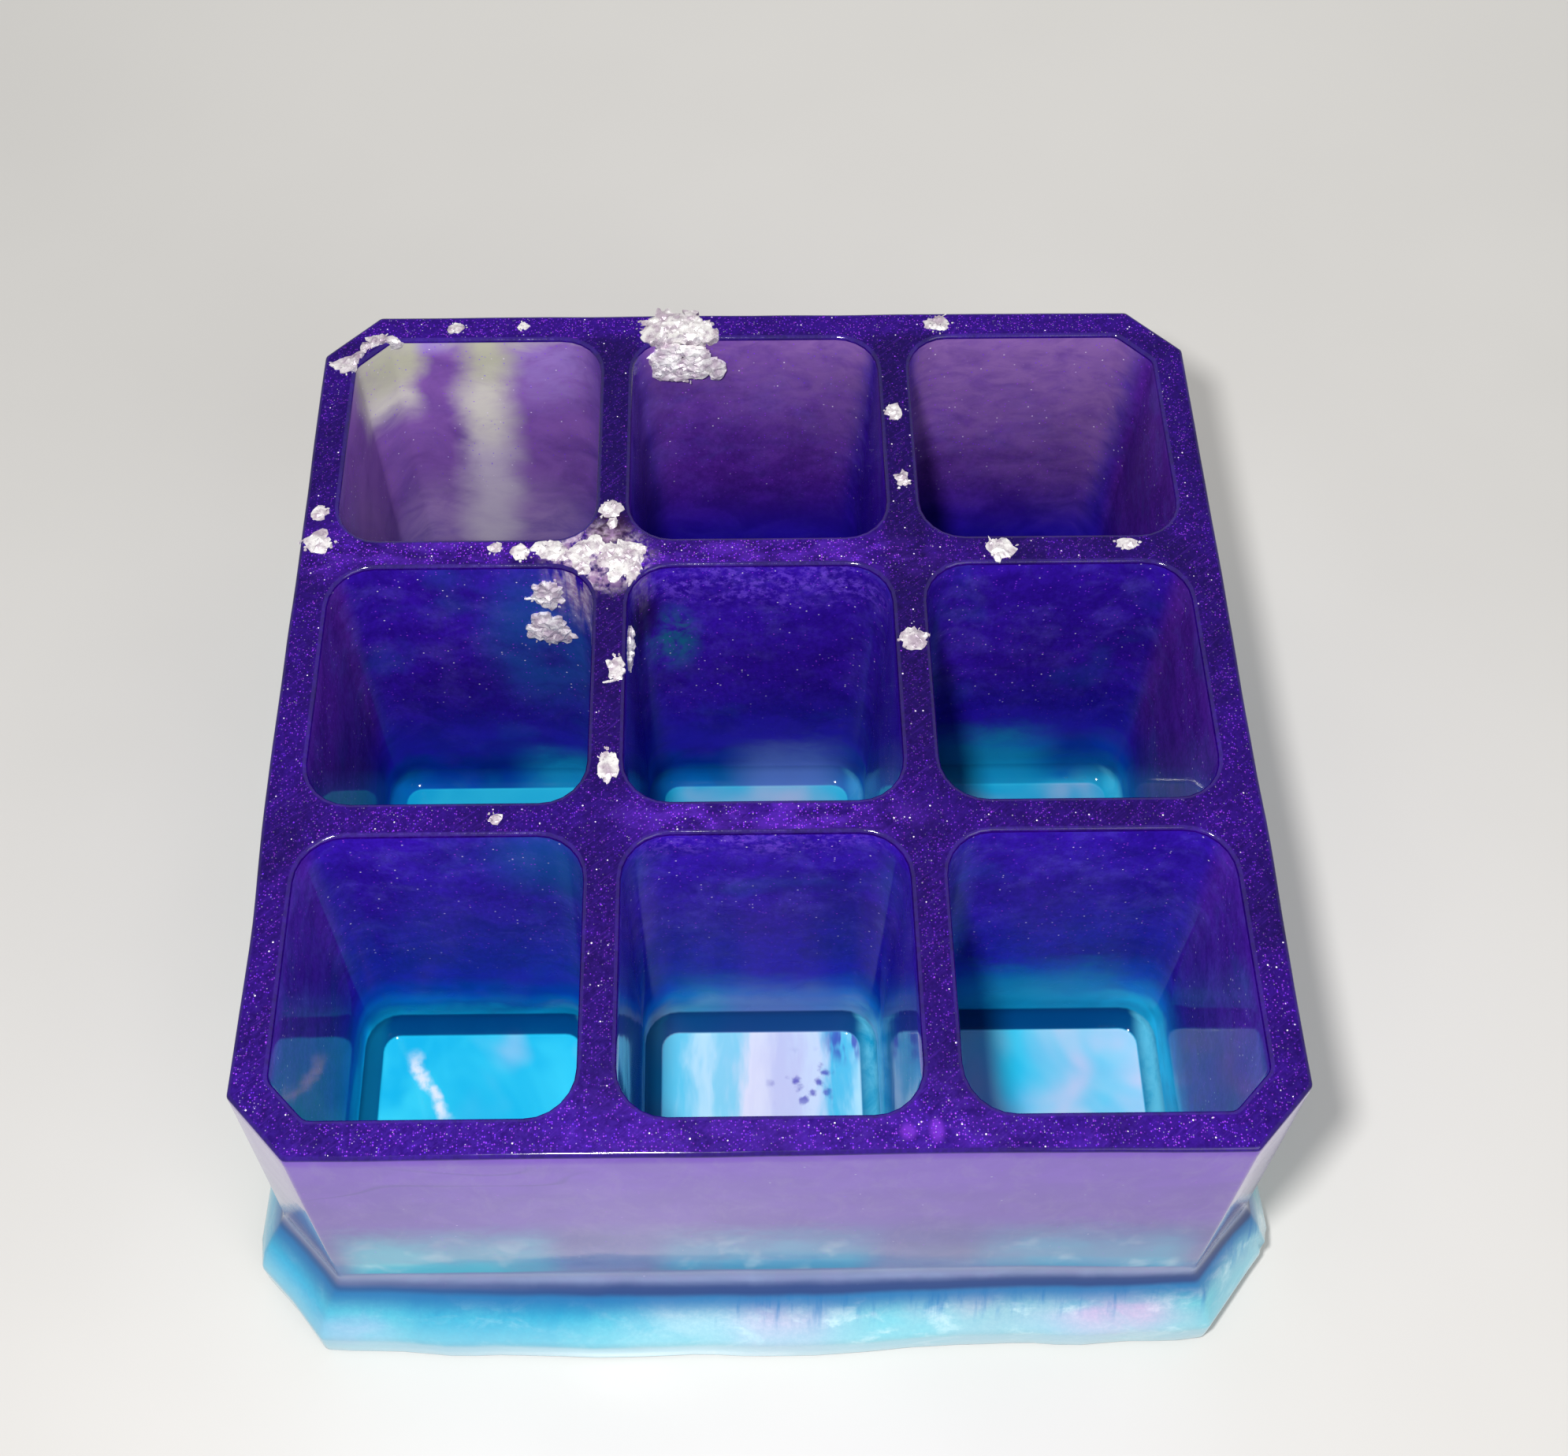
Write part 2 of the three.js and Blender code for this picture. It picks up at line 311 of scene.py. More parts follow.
# ---- shader graph helper ----
class Graph:
    """Short calls for building one material's nodes."""

    def __init__(self, name):
        self.material = bpy.data.materials.new(name)
        self.material.use_nodes = True
        self.nodes = self.material.node_tree.nodes
        self.links = self.material.node_tree.links
        self.shader = self.nodes["Principled BSDF"]
        self.position = self.nodes.new("ShaderNodeTexCoord").outputs["Object"]

    def put(self, socket, value):
        if isinstance(value, bpy.types.NodeSocket):
            self.links.new(value, socket)
        elif isinstance(value, tuple) and len(value) == 3 and socket.type == "RGBA":
            socket.default_value = (*value, 1)
        else:
            socket.default_value = value

    def math(self, operation, a, b=0.0, c=None):
        node = self.nodes.new("ShaderNodeMath")
        node.operation = operation
        for socket, value in zip(node.inputs, (a, b) if c is None else (a, b, c)):
            self.put(socket, value)
        return node.outputs[0]

    def vector(self, operation, a, b=(0, 0, 0)):
        node = self.nodes.new("ShaderNodeVectorMath")
        node.operation = operation
        self.put(node.inputs[0], a)
        self.put(node.inputs[1], b)
        return node.outputs["Value" if operation == "LENGTH" else "Vector"]

    def split(self, value):
        node = self.nodes.new("ShaderNodeSeparateXYZ")
        self.put(node.inputs[0], value)
        return node.outputs

    def stretch(self, scale, turn=0.0):
        """The position in millimetres times scale, after a turn about Z."""
        node = self.nodes.new("ShaderNodeMapping")
        node.inputs["Scale"].default_value = tuple(s / MM for s in scale)
        self.put(node.inputs["Vector"], self.turned(turn) if turn else self.position)
        return node.outputs[0]

    def turned(self, turn):
        node = self.nodes.new("ShaderNodeVectorRotate")
        node.rotation_type = "Z_AXIS"
        node.inputs["Angle"].default_value = turn
        self.put(node.inputs["Vector"], self.position)
        return node.outputs[0]

    def noise(self, size, detail=3.0, rough=0.55, bend=0.0, turn=0.0, shift=0.0):
        """Soft noise, 0 to 1, with features `size` mm across: one number or one per axis."""
        sizes = (size,) * 3 if isinstance(size, (int, float)) else size
        node = self.nodes.new("ShaderNodeTexNoise")
        node.noise_dimensions = "4D" if shift else "3D"
        self.put(node.inputs["Vector"], self.stretch([1 / s for s in sizes], turn))
        if shift:
            node.inputs["W"].default_value = shift
        for key, number in (("Scale", 1.0), ("Detail", detail), ("Roughness", rough),
                            ("Distortion", bend)):
            node.inputs[key].default_value = number
        return node.outputs["Fac"]

    def cells(self, size):
        """Cells about `size` mm across, each with its own colour and distance from its middle."""
        node = self.nodes.new("ShaderNodeTexVoronoi")
        self.put(node.inputs["Vector"], self.stretch([1 / size] * 3))
        node.inputs["Scale"].default_value = 1.0
        return node

    def step(self, value, low, high, to=(0.0, 1.0)):
        """Smooth step from `low` to `high`."""
        node = self.nodes.new("ShaderNodeMapRange")
        node.interpolation_type = "SMOOTHSTEP"
        self.put(node.inputs["Value"], value)
        for key, number in (("From Min", low), ("From Max", high), ("To Min", to[0]), ("To Max", to[1])):
            node.inputs[key].default_value = number
        return node.outputs[0]

    def fall(self, value, low, high):
        """1 up to `low`, easing down to 0 at `high`."""
        return self.step(value, low, high, (1.0, 0.0))

    def mix(self, factor, a, b, blend="MIX"):
        node = self.nodes.new("ShaderNodeMix")
        node.data_type = "RGBA"
        node.blend_type = blend
        node.clamp_factor = True
        self.put(node.inputs[0], factor)
        self.put(node.inputs[6], a)
        self.put(node.inputs[7], b)
        return node.outputs[2]

    def blendf(self, factor, a, b):
        node = self.nodes.new("ShaderNodeMix")
        node.data_type = "FLOAT"
        self.put(node.inputs[0], factor)
        self.put(node.inputs[2], a)
        self.put(node.inputs[3], b)
        return node.outputs[0]

    def ramp(self, value, stops):
        node = self.nodes.new("ShaderNodeValToRGB")
        node.color_ramp.interpolation = "EASE"
        elements = node.color_ramp.elements
        while len(elements) < len(stops):
            elements.new(0.5)
        for element, (place, colour) in zip(elements, stops):
            element.position = place
            element.color = (*colour, 1)
        self.put(node.inputs[0], value)
        return node.outputs["Color"]

    def near(self, point, reach, soft, squash=(1, 1, 1)):
        """1 inside `reach` mm of a point, 0 beyond reach + soft."""
        moved = self.vector("SUBTRACT", self.position, tuple(c * MM for c in point))
        scaled = self.vector("MULTIPLY", moved, tuple(s / MM for s in squash))
        return self.fall(self.vector("LENGTH", scaled), reach, reach + soft)

    def bump(self, height, distance, strength=1.0, normal=None):
        node = self.nodes.new("ShaderNodeBump")
        node.inputs["Strength"].default_value = strength
        node.inputs["Distance"].default_value = distance * MM
        self.put(node.inputs["Height"], height)
        if normal is not None:
            self.put(node.inputs["Normal"], normal)
        return node.outputs[0]

    def surface(self, **sockets):
        for key, value in sockets.items():
            self.put(self.shader.inputs[key.replace("_", " ")], value)
        return self.material


# ---- resin ----
# the pour, top down, and the pearl in it
VIOLET = (0.036, 0.007, 0.37)
INDIGO = (0.018, 0.007, 0.44)
BLUE = (0.002, 0.045, 0.46)
TEAL = (0.001, 0.19, 0.58)
CYAN = (0.008, 0.56, 0.84)
PEARL = (0.56, 0.70, 0.84)
LILAC = (0.74, 0.62, 0.82)
# rim and outer walls
RIM_DARK = (0.009, 0.001, 0.080)
RIM_BRIGHT = (0.026, 0.002, 0.20)
# painted light coming through the outer walls
SHELL_LIT_VIOLET = (0.100, 0.020, 0.33)
# the clear patch at the back left; its pale smoke colours are painted light showing through the clear
# resin
HAZE_DARK = (0.20, 0.085, 0.36)
HAZE = (0.30, 0.14, 0.48)
HAZE_BLUE = (0.34, 0.23, 0.62)
HAZE_PALE = (0.40, 0.27, 0.54)
LIT_SMOKE = (0.72, 0.70, 0.62)
LIT_SMOKE_HIGH = (0.48, 0.49, 0.36)
LIT_SMOKE_LOW = (0.60, 0.53, 0.66)
# the wall junction under the largest leaf
MAUVE = (0.30, 0.19, 0.33)
MAUVE_PALE = (0.60, 0.50, 0.60)
JUNCTION_DARK = (0.02, 0.006, 0.016)
# mica
FLAKE_BLUE = (0.14, 0.02, 0.85)
FLAKE_VIOLET = (0.38, 0.06, 0.80)
FLAKE_WHITE = (0.90, 0.80, 1.0)
SCRATCH = (0.08, 0.015, 0.36)
# painted sheen on the rim
PAINTED_RIM_SHEEN = (0.12, 0.025, 0.56)
RIM_SPOT = (0.18, 0.03, 0.56)
MICA_PALE = (0.10, 0.07, 0.48)
# painted sheen under the pocket lips
PAINTED_MICA_SHEEN = (0.17, 0.07, 0.70)
# pockets
VEIL = (0.004, 0.09, 0.33)
TORN_TEAL = (0.003, 0.12, 0.19)
LIT_THROUGH = (0.24, 0.12, 0.38)
FLOOR_BLUE = (0.01, 0.50, 0.78)
FLOOR_CYAN = (0.04, 0.66, 0.86)
FLOOR_SHADE = (0.005, 0.20, 0.44)
DROP_VIOLET = (0.05, 0.03, 0.42)
VEIN_WHITE = (0.86, 0.90, 0.92)
# painted shade and painted light on the slopes at the foot of the pocket walls
SLOPE_SHADE = (0.0, 0.040, 0.17)
SLOPE_SIDE_SHADE = (0.002, 0.10, 0.22)
SLOPE_LIT = (0.004, 0.30, 0.50)
SLOPE_LIT_PALE = (0.12, 0.52, 0.68)
# outside walls
MOTTLE = (0.22, 0.16, 0.42)
GLOW_LEFT = (0.06, 0.44, 0.60)
GLOW_RIGHT = (0.05, 0.30, 0.52)
GLOW_WISP = (0.50, 0.68, 0.78)
BUBBLE = (0.42, 0.40, 0.66)
CORNER_PALE = (0.50, 0.42, 0.64)
# painted shade where the wall meets the foot
SEAM_SHADE = (0.010, 0.040, 0.17)
# foot
FOOT_TEAL = (0.006, 0.42, 0.70)
FOOT_CYAN = (0.14, 0.66, 0.82)
FOOT_MILK = (0.66, 0.84, 0.88)
FOOT_PINK = (0.70, 0.40, 0.70)
FOOT_DRIP = (0.02, 0.22, 0.52)
FOOT_RIGHT = (0.07, 0.42, 0.58)
FOOT_LEFT = (0.01, 0.44, 0.76)
FOOT_LILAC = (0.42, 0.42, 0.76)
FOOT_RIM = (0.42, 0.58, 0.74)
FOOT_LOW = (0.34, 0.72, 0.84)
FOOT_SHADE = (0.002, 0.13, 0.36)


class Resin(Graph):
    """Cast epoxy: mica violet at the rim through blue to teal and white pearl at the floor.

    One pattern runs through all three pours, so they meet without a line. Each zone of the surface
    (flatted rim, pocket, outside) gets its own finish over it."""

    def __init__(self, name):
        super().__init__(name)
        self.x, self.y, self.z = self.split(self.vector("MULTIPLY", self.position, (1 / MM,) * 3))
        self.ax, self.ay = self.math("ABSOLUTE", self.x), self.math("ABSOLUTE", self.y)
        normal = self.split(self.nodes.new("ShaderNodeNewGeometry").outputs["Normal"])
        self.leftward = self.both(normal[0], -1.0)
        self.facing_x = self.math("ABSOLUTE", normal[0])
        self.facing_y = self.math("ABSOLUTE", normal[1])
        self.broad = self.noise(15, 3, 0.5, 0.6)
        self.cloud = self.noise((7, 7, 5), 4, 0.55, 0.6, shift=1.7)
        self.wisp = self.noise((4.5, 4.5, 2.6), 6, 0.62, 0.9, shift=4.2)

    def chain(self, operation, terms):
        out = terms[0]
        for term in terms[1:]:
            out = self.math(operation, out, term)
        return out

    def both(self, *masks):
        """1 where every mask is 1: their product."""
        return self.chain("MULTIPLY", masks)

    def most(self, *masks):
        """1 where any mask is 1: the largest of them."""
        return self.chain("MAXIMUM", masks)

    def add(self, *terms):
        return self.chain("ADD", terms)

    def band(self, value, middle, full, gone):
        """1 within `full` of the middle, 0 past `gone`."""
        away = self.math("ABSOLUTE", self.math("SUBTRACT", value, middle))
        return self.fall(away, full, gone)

    def swing(self, pattern, amount):
        """A 0 to 1 pattern as a swing of plus or minus half of `amount`."""
        return self.math("MULTIPLY_ADD", pattern, amount, -amount / 2)

    def shade(self, factor, base, by):
        """Multiply the colour by `by` where the factor is 1."""
        return self.mix(factor, base, self.mix(1.0, base, by, "MULTIPLY"))

    def depth_colour(self):
        """Colour of the walls by height; the blue lies deeper towards the back."""
        tilt = self.add(self.math("MULTIPLY_ADD", self.y, 0.19, 0.19 * 17), self.both(self.x, -0.05))
        self.height = self.add(self.z, self.swing(self.broad, 7), self.swing(self.cloud, 6), tilt)
        return self.ramp(self.math("DIVIDE", self.height, TOP_Z), (
            (0.13, CYAN), (0.19, TEAL), (0.27, BLUE), (0.35, INDIGO), (0.72, VIOLET)))

    def pearl(self, base, low):
        """White and lilac pearl clouds where `low` is 1, thicker towards the right."""
        swirl = self.noise((12, 12, 12), 2, 0.45, 0.7, shift=5.5)
        bias = self.add(swirl, self.step(self.x, -34, 4, (-0.26, 0.05)))
        pearl = self.both(self.step(bias, 0.34, 0.68), low)
        base = self.mix(self.both(pearl, 0.75), base, PEARL)
        pink = self.both(self.step(self.noise(10, 2, 0.45, 0.4, shift=8.1), 0.44, 0.66), pearl)
        return self.mix(self.both(pink, 0.8), base, LILAC)

    def clear_patch(self, base, strength):
        """Near-clear, smoky resin in the back left corner: a corner cloud and an upright streak, its pale
        smoke painted as light showing through.
        """
        bend = self.add(self.x, self.swing(self.broad, 4), self.swing(self.cloud, 4),
                        self.both(self.z, -0.065))
        streak = self.band(bend, -33.0, 0.4, 5.0)
        ragged = self.add(self.z, self.swing(self.cloud, 8))
        corner = self.both(self.fall(bend, -42.2, -39.6), self.step(ragged, 32, 37))
        under_rim = self.both(self.step(ragged, 44.0, 46.0), self.step(self.x, -37, -33),
                              self.fall(self.x, -19, -17))
        patch = self.most(streak, corner, self.both(under_rim, 0.6))
        patch = self.both(patch, self.step(self.y, 36, 42), self.step(self.wisp, 0.2, 0.6, (0.75, 1.0)))
        left_wall = self.both(self.near((-44, 34, 34), 4, 12, (1, 0.8, 0.6)),
                              self.step(self.cloud, 0.2, 0.7, (0.45, 0.65)))
        base = self.mix(left_wall, base, HAZE_DARK)
        haze = self.both(self.near((-32, 44, 32), 9, 14, (0.9, 0.8, 0.6)),
                         self.step(self.cloud, 0.2, 0.7, (0.3, 0.75)))
        base = self.mix(haze, base, HAZE)
        lilac = self.both(self.near((-23.5, 43, 41), 2, 5, (1, 1, 0.7)),
                          self.step(self.wisp, 0.3, 0.6, (0.2, 0.6)))
        lilac = self.most(lilac, self.near((-37, 43, 45.5), 1, 3, (0.7, 1, 1.4)))
        base = self.mix(lilac, base, HAZE_BLUE)
        spread = self.both(self.near((-33, 44, 11), 4, 7, (0.6, 1, 0.8)),
                           self.step(self.wisp, 0.3, 0.6, (0.35, 0.7)))
        base = self.mix(spread, base, HAZE_PALE)
        # painted light: the pale smoke is the bright surroundings seen through the clear resin
        smoke = self.mix(self.step(ragged, 36, 43), LIT_SMOKE, LIT_SMOKE_HIGH)
        smoke = self.mix(self.step(ragged, 32, 24), smoke, LIT_SMOKE_LOW)
        return self.mix(self.both(patch, strength), base, smoke)

    def junction_smoke(self, base):
        """Brownish, half-clear resin round the leaf where two walls cross, streaking down."""
        streaky = self.noise((1.0, 1.0, 7), 4, 0.6, 0.4, shift=13.0)
        smoke = self.both(self.near((-16.6, 14.6, 45), 2.4, 3.0, (0.8, 1.0, 0.42)),
                          self.step(streaky, 0.36, 0.58))
        mottle = self.step(self.noise(0.8, 3, 0.6, shift=31.0), 0.40, 0.66)
        tone = self.mix(mottle, MAUVE, MAUVE_PALE)
        base = self.mix(self.both(smoke, 0.85), base, tone)
        dark = self.both(self.near((-15.6, 18.4, 45), 1.2, 2.2), self.step(streaky, 0.7, 0.45))
        return self.mix(self.both(dark, 0.8), base, JUNCTION_DARK)

    def glitter(self, size, share, reach, white=0.94):
        """Mica flakes: (mask, colour). `share` of the cells carry one; few are white."""
        cells = self.cells(size)
        pick = self.split(cells.outputs["Color"])
        dot = self.fall(cells.outputs["Distance"], reach * 0.4, reach)
        mask = self.both(self.step(pick[0], 1 - share, 1 - share * 0.4), dot)
        tone = self.mix(pick[1], FLAKE_BLUE, FLAKE_VIOLET)
        return mask, self.mix(self.step(pick[2], white - 0.04, white + 0.03), tone, FLAKE_WHITE)

    def rim_base(self):
        drift = self.noise(9, 4, 0.6, 0.8, shift=6.6)
        grain = self.noise(0.45, 3, 0.7, shift=7.7)
        # painted light: the rim brighter along its front and back edges, on top of a drifting random
        # brightness
        front = self.step(self.y, -46, -36, (0.25, 0.0))
        back = self.step(self.y, 43.6, 45.4, (0.0, 0.6))
        lit = self.add(self.step(drift, 0.22, 0.85), front, back)
        # the walls running front to back catch less light than the ones across
        divider = self.band(self.ax, PITCH / 2, 1.6, 2.6)
        divider = self.both(divider, self.step(self.ay, 45, 42), self.step(self.y, -14, 2, (0.4, 0.85)))
        lit = self.both(lit, self.math("SUBTRACT", 1.0, divider))
        base = self.mix(self.math("MINIMUM", lit, 1.0), RIM_DARK, RIM_BRIGHT)
        return self.shade(self.step(grain, 0.72, 0.30), base, (0.55, 0.5, 0.6)), lit, grain


def rim_resin():
    """The flatted top: dense dark violet, full of glitter, with fine slanting scratches."""
    g = Resin("violet mica rim")
    base, lit, grain = g.rim_base()
    scratch = g.noise((0.16, 3.0, 3), 2, 0.6, turn=math.radians(50), shift=1.1)
    base = g.mix(g.step(scratch, 0.52, 0.8, (0.0, 0.30)), base, SCRATCH)
    # painted sheen: brighter violet on the rear cross wall and at the middle of the front rim
    patchy = g.step(g.noise((3.5, 1.6, 3), 4, 0.65, shift=15.0), 0.36, 0.66)
    painted_sheen = g.most(g.near((-36, 15.6, 46), 3.5, 5, (0.45, 1.6, 1)),
                   g.near((1, 14.2, 46), 3.5, 4, (0.35, 1.7, 1)),
                   g.both(g.near((4, -46, 46), 3.0, 6, (0.22, 1.0, 1)), 0.5),
                   g.near((0, -15.2, 46), 2.0, 4, (0.3, 1.4, 1)))
    base = g.mix(g.both(painted_sheen, patchy, 0.34), base, PAINTED_RIM_SHEEN)
    spots = g.most(g.near((11.8, -45.6, 46), 0.3, 0.7),
                   g.near((14.3, -45.5, 46), 0.3, 0.7, (1.1, 0.7, 1)))
    base = g.mix(g.both(spots, 0.45), base, RIM_SPOT)
    fine, tone = g.glitter(0.18, 0.30, 0.55, 0.88)
    shine = g.most(g.step(lit, 0.0, 1.0, (0.20, 0.75)), g.both(painted_sheen, 0.9))
    base = g.mix(g.both(fine, shine), base, tone)
    coarse, tone = g.glitter(0.25, 0.03, 0.42, 0.72)
    base = g.mix(coarse, base, tone)
    base = g.junction_smoke(base)
    height = g.add(g.both(grain, 0.5), scratch)
    return g.surface(Base_Color=base, Roughness=g.step(grain, 0.3, 0.7, (0.28, 0.44)),
                     Specular_IOR_Level=0.12, Normal=g.bump(height, 0.005), IOR=1.5)


def lip_resin():
    """The rounded mouths of the pockets: the rim's colour, still glossy from the mould."""
    g = Resin("violet mica lip")
    base, _, grain = g.rim_base()
    return g.surface(Base_Color=g.shade(1.0, base, (1.25, 1.25, 1.25)),
                     Roughness=g.step(grain, 0.3, 0.7, (0.05, 0.13)),
                     Specular_IOR_Level=0.5, Normal=g.bump(grain, 0.01), IOR=1.5)


def pocket_walls(g):
    """Colour down the walls, with mica clouds, the smoky patch and the paler back wall, and painted light
    and shade: outer and back walls lit through, a brighter front row, sheen under the lips, lit patches
    and shade low down.
    """
    base = g.depth_colour()
    # painted light: the outer walls paler violet, lit through the thin resin from outside
    shell = g.most(g.step(g.ax, 42.0, 43.6), g.step(g.ay, 42.0, 43.6))
    shell = g.both(shell, g.step(g.z, 8, 24), g.step(g.y, -40, 20, (0.6, 0.95)))
    base = g.mix(shell, base, SHELL_LIT_VIOLET)
    # soft mica clouds
    base = g.shade(g.step(g.cloud, 0.64, 0.36, (0.0, 0.6)), base, (0.45, 0.45, 0.55))
    pale = g.noise(4.0, 6, 0.65, 0.5, shift=21.0)
    pale = g.both(g.step(pale, 0.45, 0.75), g.step(g.z, 14, 36, (0.1, 0.42)))
    base = g.mix(pale, base, MICA_PALE)
    grain = g.noise((0.6, 0.6, 0.9), 3, 0.7, shift=22.0)
    grain = g.both(g.step(grain, 0.62, 0.38), g.step(g.z, 8, 20, (0.0, 0.5)))
    base = g.shade(grain, base, (0.5, 0.5, 0.6))
    # painted light: the front row's walls brighter, nearer the lamp
    base = g.shade(g.step(g.y, -8, -16), base, (1.2, 1.3, 1.25))
    veil = g.both(g.step(g.noise(10, 3, 0.5, 0.5, shift=12.2), 0.55, 0.70),
                  g.step(g.y, 36, 42, (0.5, 0.0)))
    veil = g.most(g.both(veil, 0.55), g.near((-19.5, -15.5, 41), 2, 6.5, (0.8, 1, 0.8)),
                  g.both(g.near((-23, 13, 32), 3, 6, (1, 1, 0.5)), g.step(g.cloud, 0.3, 0.6, (0.3, 0.9))))
    base = g.mix(g.both(veil, 0.65), base, VEIL)
    torn = g.step(g.noise((2.4, 2.4, 3.5), 4, 0.65, 0.6, shift=33.0), 0.36, 0.60)
    torn = g.both(g.near((-9.2, 13.5, 32.5), 0.8, 4.0, (1.2, 1, 0.6)), torn, 0.85)
    base = g.mix(torn, base, TORN_TEAL)
    # painted shade: darker in the back left corner of the middle pocket
    base = g.shade(g.near((-13.3, 12.5, 38.5), 1.5, 2.5, (1, 1, 0.6)), base, (0.5, 0.35, 0.3))
    # painted sheen: brighter violet mica just under the back lips of the pockets
    painted_sheen = g.most(g.near((2, 13.6, 42.5), 3, 4.5, (0.4, 1, 1.3)),
                   g.near((-1, -17, 45), 2, 4, (0.35, 1, 1.2)),
                   g.near((-4, 13.6, 42.5), 2, 3, (0.5, 1, 1.4)))
    painted_sheen = g.both(painted_sheen, g.step(g.noise(0.8, 4, 0.7, 0.3, shift=32.0), 0.44, 0.62),
                   g.step(g.wisp, 0.34, 0.56))
    base = g.mix(g.both(painted_sheen, 0.6), base, PAINTED_MICA_SHEEN)
    # the back wall is lit through, more so towards the right and the top
    level = g.add(g.z, g.swing(g.cloud, 14), g.both(g.x, 0.35))
    lit_back = g.both(g.step(g.y, 40.5, 43.2), g.step(level, 21, 52))
    base = g.mix(g.both(lit_back, g.step(g.wisp, 0.3, 0.65, (0.5, 0.95))), base, LIT_THROUGH)
    base = g.clear_patch(base, 0.92)
    base = g.junction_smoke(base)
    base = g.pearl(base, g.both(g.step(g.height, 6, 10, (0.6, 0.0)), g.step(g.x, 14, 20, (1.0, 0.1))))
    # painted shade: the back walls darker just above the floor; painted light: pale clouds low on some of
    # the back walls, where the lit floors shine into the teal resin
    low = g.both(g.step(g.z, 9.5, 5.0), g.step(g.facing_y, 0.3, 0.7))
    base = g.shade(low, base, (0.6, 0.55, 0.62))
    teal = (0.01, 0.36, 0.60)
    blue = g.mix(g.step(g.add(g.x, g.swing(g.cloud, 6)), -7, -2), (0.02, 0.36, 0.64), (0.13, 0.22, 0.62))
    for middle, half, wall_y, reach, tint in (
            (4.0, 5.0, 13, 9, blue), (27, 6.0, 13, 12, teal), (-22, 4.0, 13, 7, teal),
            (1, 8.5, -17.5, 11.5, blue), (29, 8.0, -17.5, 15, teal)):
        across = g.band(g.x, middle, half - 3, half + 4)
        there = g.band(g.y, wall_y, 2.5, 3.5)
        level = g.add(g.z, g.swing(g.cloud, 7), g.swing(g.wisp, 4))
        rise = g.fall(level, reach - 5, reach + 4)
        base = g.mix(g.both(across, there, rise, 0.72), base, tint)
    return base


def pocket_floor(g):
    """Cyan and pearl floors, with painted shade darker row by row towards the back."""
    tone = g.mix(g.step(g.broad, 0.35, 0.65), FLOOR_BLUE, FLOOR_CYAN)
    tone = g.pearl(tone, 1.0)
    # the front middle floor: cyan edges, white and lilac streaks running back, a few violet drops
    frayed = g.add(g.x, g.swing(g.noise((2.2, 9, 9), 3, 0.6, 0.4, shift=24.0), 7))
    streaks = g.ramp(g.math("MULTIPLY_ADD", frayed, 1 / 26, 0.5), (
        (0.12, (0.10, 0.60, 0.80)), (0.26, (0.50, 0.80, 0.90)), (0.36, (0.22, 0.66, 0.82)),
        (0.46, (0.76, 0.78, 0.88)), (0.60, (0.58, 0.60, 0.82)), (0.72, (0.64, 0.74, 0.88)),
        (0.82, (0.06, 0.52, 0.74)), (0.92, (0.46, 0.76, 0.86))))
    middle = g.both(g.fall(g.ax, 12, 13), g.step(g.y, -16, -17))
    tone = g.mix(g.both(middle, 0.9), tone, streaks)
    blot = g.add(g.cells(1.7).outputs["Distance"], g.swing(g.noise(1.4, 3, 0.6, shift=34.0), 1.0))
    drops = g.both(g.fall(blot, 0.10, 0.40), g.near((4.8, -25.2, 3), 1.6, 2.6, (0.8, 1, 1)))
    dashes = g.step(g.noise((1.0, 4, 2), 2, 0.5, shift=26.0), 0.45, 0.6)
    drops = g.most(drops, g.both(g.near((9.4, -20.8, 3.5), 1.2, 2.0), dashes))
    tone = g.mix(g.both(drops, 0.8), tone, DROP_VIOLET)
    across = g.split(g.vector("MULTIPLY", g.turned(math.radians(-30.5)), (1 / MM,) * 3))[0]
    frayed = g.add(across, g.swing(g.noise(3.5, 3, 0.65, shift=6.1), 3.0))
    vein = g.both(g.band(frayed, -44.0, 0.1, 1.0), g.near((-36.1, -25.6, 3), 2.6, 2.6),
                  g.step(g.noise(0.9, 3, 0.6, shift=16.0), 0.3, 0.6, (0.3, 0.9)))
    tone = g.mix(vein, tone, VEIN_WHITE)
    # painted shade: the floors darker in the back rows and near their back edges
    tone = g.shade(g.step(g.y, -8, 4), tone, (0.52, 0.70, 0.80))
    tone = g.mix(g.step(g.y, 12, 19.5, (0.0, 0.55)), tone, FLOOR_SHADE)
    return tone


def floor_slope(g, base):
    """Painted shade on the slope between floor and wall, most at the back; the slopes along the
    right-hand walls get painted light instead.
    """
    slope = g.both(g.step(g.z, FLOOR_Z + 0.03, FLOOR_Z + 0.14), g.fall(g.z, 4.3, 4.9))
    back_rows = g.step(g.y, -5, 5, (1.0, 0.35))
    side = g.mix(g.step(g.facing_x, 0.2, 0.5), SLOPE_SHADE, SLOPE_SIDE_SHADE)
    lit_side = g.mix(g.step(g.wisp, 0.3, 0.6), SLOPE_LIT, SLOPE_LIT_PALE)
    # painted light on the slopes along the right-hand walls, which the lamp reaches from the left
    side = g.mix(g.step(g.leftward, 0.25, 0.6), side, lit_side)
    return g.mix(g.both(slope, back_rows, 0.95), base, side)


